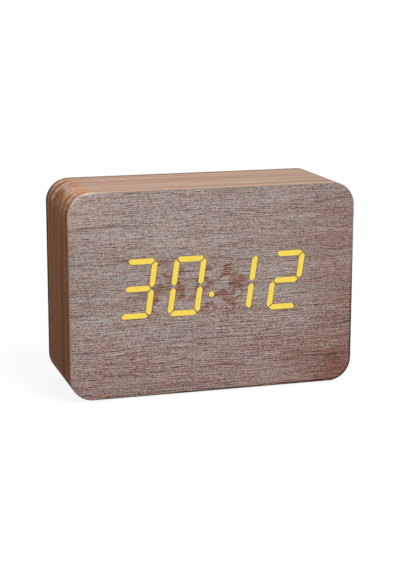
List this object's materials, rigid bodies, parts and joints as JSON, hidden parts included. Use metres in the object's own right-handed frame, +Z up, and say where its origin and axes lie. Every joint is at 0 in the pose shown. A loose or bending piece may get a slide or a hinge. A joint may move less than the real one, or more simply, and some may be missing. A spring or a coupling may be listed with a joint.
{
  "type": "radio-controlled alarm clock",
  "caption": "Veneered block alarm clock with a glowing segment display behind its wood face, and with buttons, slide switch, battery bay and power inlet on the back.",
  "frame": {"origin": "middle of the footprint on the surface that the feet stand on", "axes": "+X to the right as seen from the front, +Y from the front to the back, +Z up"},
  "size_m": [0.15, 0.055, 0.1058],
  "materials": {
    "veneer_front": "open-pored grey-brown veneer, satin",
    "veneer_side": "warm brown veneer, satin",
    "fibreboard": "raw fibreboard",
    "rubber_black": "soft matte",
    "display_yellow": "translucent, lit from behind",
    "film_white": "translucent film",
    "shade_white": "moulded",
    "board_green": "solder mask",
    "led_resin": "clear yellow resin",
    "screw_steel": "zinc plated",
    "contact_steel": "nickel plated",
    "grey_plastic": "moulded",
    "ribbon_grey": "vinyl",
    "black_plastic": "fine spark-eroded texture",
    "button_grey": "smooth satin",
    "jack_black": "moulded",
    "brass": "bright",
    "buzzer_ceramic": "silvered",
    "ferrite": "sintered",
    "copper": "enamelled wire",
    "lead_red": "vinyl",
    "cell_wrap": "printed film sleeve"
  },
  "bodies": {
    "root": {"core_block": "fibreboard", "side_veneer": "veneer_side", "front_veneer": "veneer_front", "rear_veneer": "veneer_side", "rubber_feet": "rubber_black", "lit_segments": "display_yellow", "dark_segments": "veneer_front", "diffuser_film": "film_white", "light_box": "shade_white", "display_board": "board_green", "segment_leds": "led_resin", "display_screws": "screw_steel", "controller_chip": "grey_plastic", "driver_chips": "grey_plastic", "clock_crystal": "screw_steel", "filter_capacitors": "grey_plastic", "ribbon_sockets": "grey_plastic", "ribbon_cable": "ribbon_grey", "back_cover": "black_plastic", "cover_screws": "screw_steel", "battery_springs": "contact_steel", "battery_plates": "contact_steel", "battery_leads": "lead_red", "key_board": "board_green", "key_board_screws": "screw_steel", "switch_bodies": "grey_plastic", "slide_switch": "screw_steel", "dc_jack": "jack_black", "jack_nut": "screw_steel", "jack_pin": "brass", "jack_lugs": "contact_steel", "jack_leads": "lead_red", "buzzer_disc": "brass", "buzzer_ceramic": "buzzer_ceramic", "buzzer_leads": "lead_red", "ferrite_rod": "ferrite", "antenna_coil": "copper", "antenna_saddles": "grey_plastic", "antenna_leads": "copper", "receiver_board": "board_green", "receiver_chip": "grey_plastic", "receiver_leads": "lead_red", "battery_1": "cell_wrap", "battery_2": "cell_wrap", "battery_3": "cell_wrap"},
    "door": {"battery_door": "black_plastic"},
    "knob": {"slide_knob": "button_grey"},
    "set_key": {"set_button": "button_grey", "set_plunger": "jack_black"},
    "alarm_key": {"alarm_button": "button_grey", "alarm_plunger": "jack_black"},
    "up_key": {"up_button": "button_grey", "up_plunger": "jack_black"},
    "down_key": {"down_button": "button_grey", "down_plunger": "jack_black"},
    "wave_key": {"wave_button": "button_grey", "wave_plunger": "jack_black"}
  },
  "joints": [
    {"name": "door_hinge", "type": "hinge", "parent": "root", "child": "door", "pos_m": [0.022, 0.0269, 0.02215], "axis": [-1, 0, 0], "range_deg": [0, 60]},
    {"name": "knob_slide", "type": "slide", "parent": "root", "child": "knob", "axis": [1, 0, 0], "range_m": [0, 0.0025]},
    {"name": "set_press", "type": "slide", "parent": "root", "child": "set_key", "axis": [0, -1, 0], "range_m": [0, 0.0005], "stiffness_N_per_m": 1500, "springref_m": -0.0005},
    {"name": "alarm_press", "type": "slide", "parent": "root", "child": "alarm_key", "axis": [0, -1, 0], "range_m": [0, 0.0005], "stiffness_N_per_m": 1500, "springref_m": -0.0005},
    {"name": "up_press", "type": "slide", "parent": "root", "child": "up_key", "axis": [0, -1, 0], "range_m": [0, 0.0005], "stiffness_N_per_m": 1500, "springref_m": -0.0005},
    {"name": "down_press", "type": "slide", "parent": "root", "child": "down_key", "axis": [0, -1, 0], "range_m": [0, 0.0005], "stiffness_N_per_m": 1500, "springref_m": -0.0005},
    {"name": "wave_press", "type": "slide", "parent": "root", "child": "wave_key", "axis": [0, -1, 0], "range_m": [0, 0.0005], "stiffness_N_per_m": 1500, "springref_m": -0.0005}
  ]
}
